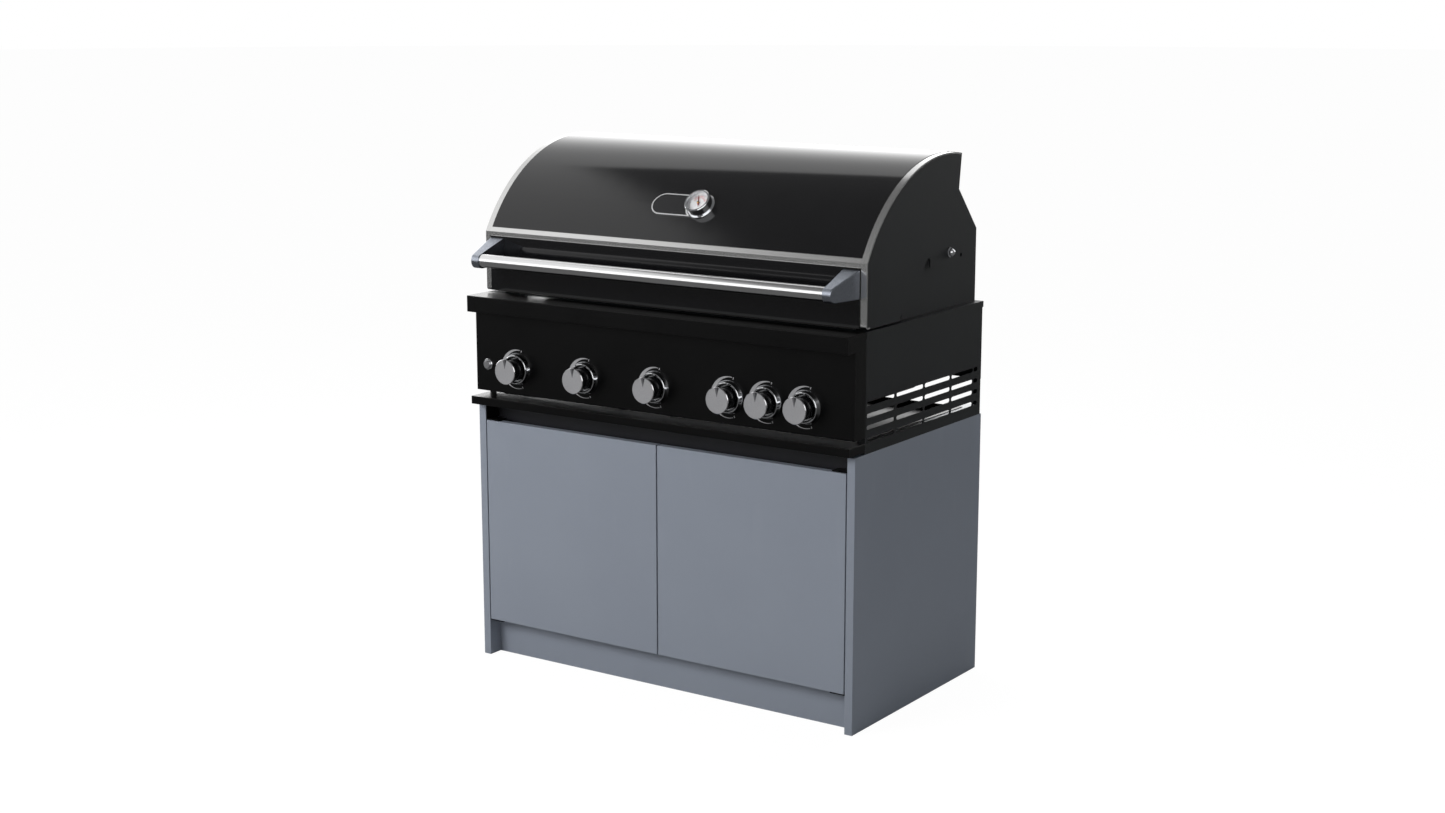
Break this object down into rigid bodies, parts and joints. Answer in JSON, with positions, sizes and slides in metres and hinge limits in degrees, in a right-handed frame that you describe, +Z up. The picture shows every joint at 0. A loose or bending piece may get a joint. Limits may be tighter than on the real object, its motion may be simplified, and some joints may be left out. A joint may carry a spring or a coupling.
{
  "type": "gas barbecue grill",
  "caption": "Free-standing gas barbecue grill: domed hood with bar handle and gauge, control panel, grease tray, on a two-door cabinet.",
  "frame": {"origin": "middle of the assembly's plan, on the surface it stands on", "axes": "+Z up, -Y to the front where the knobs and doors are, +X to the right seen from the front"},
  "size_m": [1.0254, 0.6035, 1.1905],
  "materials": {
    "cabinet_lacquer": "matt blue-grey lacquer on board",
    "black_coat": "satin black enamel on sheet steel",
    "hood_enamel": "glossy black vitreous enamel",
    "dark_board": "matt dark back board",
    "stainless": "brushed stainless steel",
    "bar_steel": "polished stainless tube",
    "bracket_cast": "satin cast aluminium",
    "chrome_trim": "bright chrome",
    "knob_finish": "satin metal cap on a black plastic knob",
    "button_satin": "satin metal",
    "dial_white": "pale printed dial",
    "needle_red": "red paint",
    "clear_glass": "clear glass",
    "badge_black": "bright rim round a bare black plate",
    "cast_grate": "matt enamelled cast iron",
    "burner_steel": "heat-tinted stainless steel",
    "ceramic": "white ceramic",
    "brass": "turned brass",
    "zinc": "zinc-plated steel",
    "rack_wire": "chromed wire",
    "magnet_black": "black plastic"
  },
  "bodies": {
    "grill": {"base_frame": "black_coat", "body_back_panel": "black_coat", "body_side_left": "black_coat", "body_side_right": "black_coat", "cabinet_back": "dark_board", "cabinet_floor": "cabinet_lacquer", "cabinet_plinth": "cabinet_lacquer", "cabinet_side_left": "cabinet_lacquer", "cabinet_side_right": "cabinet_lacquer", "control_panel": "black_coat", "cooking_grates": "cast_grate", "door_catches": "magnet_black", "door_pivots": "black_coat", "finger_pull_channel": "black_coat", "firebox": "burner_steel", "flame_tamers": "burner_steel", "front_bulkhead": "zinc", "gas_inlet": "brass", "gas_manifold": "zinc", "gas_valves": "brass", "hood_pivots": "chrome_trim", "igniter_electrodes": "ceramic", "ignition_bezel": "chrome_trim", "knob_bezels": "chrome_trim", "main_burners": "burner_steel", "rear_burner": "ceramic", "rear_gas_pipe": "burner_steel", "rear_housing": "black_coat", "top_frame": "black_coat", "tray_runners": "zinc", "warming_rack": "rack_wire"},
    "hood": {"hood_shell": "hood_enamel", "hood_side_left": "black_coat", "hood_side_right": "black_coat", "hood_trims": "stainless", "hood_front_panel": "hood_enamel", "handle_bar": "bar_steel", "handle_brackets": "bracket_cast", "handle_bolts": "zinc", "gauge_case": "chrome_trim", "gauge_dial": "dial_white", "gauge_glass": "clear_glass", "badge_plate": "badge_black"},
    "needle": {"gauge_needle": "needle_red"},
    "left_door": {"door_left": "cabinet_lacquer"},
    "right_door": {"door_right": "cabinet_lacquer"},
    "tray": {"grease_tray": "black_coat"},
    "igniter_button": {"ignition_button": "button_satin"},
    "stem_1": {"valve_stem_1": "zinc"},
    "knob_turning_1": {"knob_1": "knob_finish"},
    "stem_2": {"valve_stem_2": "zinc"},
    "knob_turning_2": {"knob_2": "knob_finish"},
    "stem_3": {"valve_stem_3": "zinc"},
    "knob_turning_3": {"knob_3": "knob_finish"},
    "stem_4": {"valve_stem_4": "zinc"},
    "knob_turning_4": {"knob_4": "knob_finish"},
    "stem_5": {"valve_stem_5": "zinc"},
    "knob_turning_5": {"knob_5": "knob_finish"},
    "stem_6": {"valve_stem_6": "zinc"},
    "knob_turning_6": {"knob_6": "knob_finish"}
  },
  "joints": [
    {"name": "hood_hinge", "type": "hinge", "parent": "grill", "child": "hood", "pos_m": [0, 0.13735, 0.976], "axis": [-1, 0, 0], "range_deg": [0, 85]},
    {"name": "left_door_hinge", "type": "hinge", "parent": "grill", "child": "left_door", "pos_m": [-0.4645, -0.24025, 0.3235], "axis": [0, 0, -1], "range_deg": [0, 105]},
    {"name": "right_door_hinge", "type": "hinge", "parent": "grill", "child": "right_door", "pos_m": [0.4645, -0.24025, 0.3235], "axis": [0, 0, 1], "range_deg": [0, 105]},
    {"name": "tray_slide", "type": "slide", "parent": "grill", "child": "tray", "axis": [0, -1, 0], "range_m": [0, 0.4]},
    {"name": "igniter_push", "type": "slide", "parent": "grill", "child": "igniter_button", "axis": [0, 1, 0], "range_m": [0, 0.004], "stiffness_N_per_m": 600},
    {"name": "gauge_needle_turn", "type": "hinge", "parent": "hood", "child": "needle", "pos_m": [0.052, -0.16082, 1.08114], "axis": [0, -0.7206, 0.6934], "range_deg": [-135, 135]},
    {"name": "knob_1_push", "type": "slide", "parent": "grill", "child": "stem_1", "axis": [0, 1, 0], "range_m": [0, 0.003], "stiffness_N_per_m": 1500},
    {"name": "knob_1_turn", "type": "hinge", "parent": "stem_1", "child": "knob_turning_1", "pos_m": [-0.382, -0.26825, 0.6885], "axis": [0, -1, 0], "range_deg": [0, 200]},
    {"name": "knob_2_push", "type": "slide", "parent": "grill", "child": "stem_2", "axis": [0, 1, 0], "range_m": [0, 0.003], "stiffness_N_per_m": 1500},
    {"name": "knob_2_turn", "type": "hinge", "parent": "stem_2", "child": "knob_turning_2", "pos_m": [-0.191, -0.26825, 0.6885], "axis": [0, -1, 0], "range_deg": [0, 200]},
    {"name": "knob_3_push", "type": "slide", "parent": "grill", "child": "stem_3", "axis": [0, 1, 0], "range_m": [0, 0.003], "stiffness_N_per_m": 1500},
    {"name": "knob_3_turn", "type": "hinge", "parent": "stem_3", "child": "knob_turning_3", "pos_m": [0, -0.26825, 0.6885], "axis": [0, -1, 0], "range_deg": [0, 200]},
    {"name": "knob_4_push", "type": "slide", "parent": "grill", "child": "stem_4", "axis": [0, 1, 0], "range_m": [0, 0.003], "stiffness_N_per_m": 1500},
    {"name": "knob_4_turn", "type": "hinge", "parent": "stem_4", "child": "knob_turning_4", "pos_m": [0.191, -0.26825, 0.6885], "axis": [0, -1, 0], "range_deg": [0, 200]},
    {"name": "knob_5_push", "type": "slide", "parent": "grill", "child": "stem_5", "axis": [0, 1, 0], "range_m": [0, 0.003], "stiffness_N_per_m": 1500},
    {"name": "knob_5_turn", "type": "hinge", "parent": "stem_5", "child": "knob_turning_5", "pos_m": [0.2865, -0.26825, 0.6885], "axis": [0, -1, 0], "range_deg": [0, 200]},
    {"name": "knob_6_push", "type": "slide", "parent": "grill", "child": "stem_6", "axis": [0, 1, 0], "range_m": [0, 0.003], "stiffness_N_per_m": 1500},
    {"name": "knob_6_turn", "type": "hinge", "parent": "stem_6", "child": "knob_turning_6", "pos_m": [0.382, -0.26825, 0.6885], "axis": [0, -1, 0], "range_deg": [0, 200]}
  ]
}
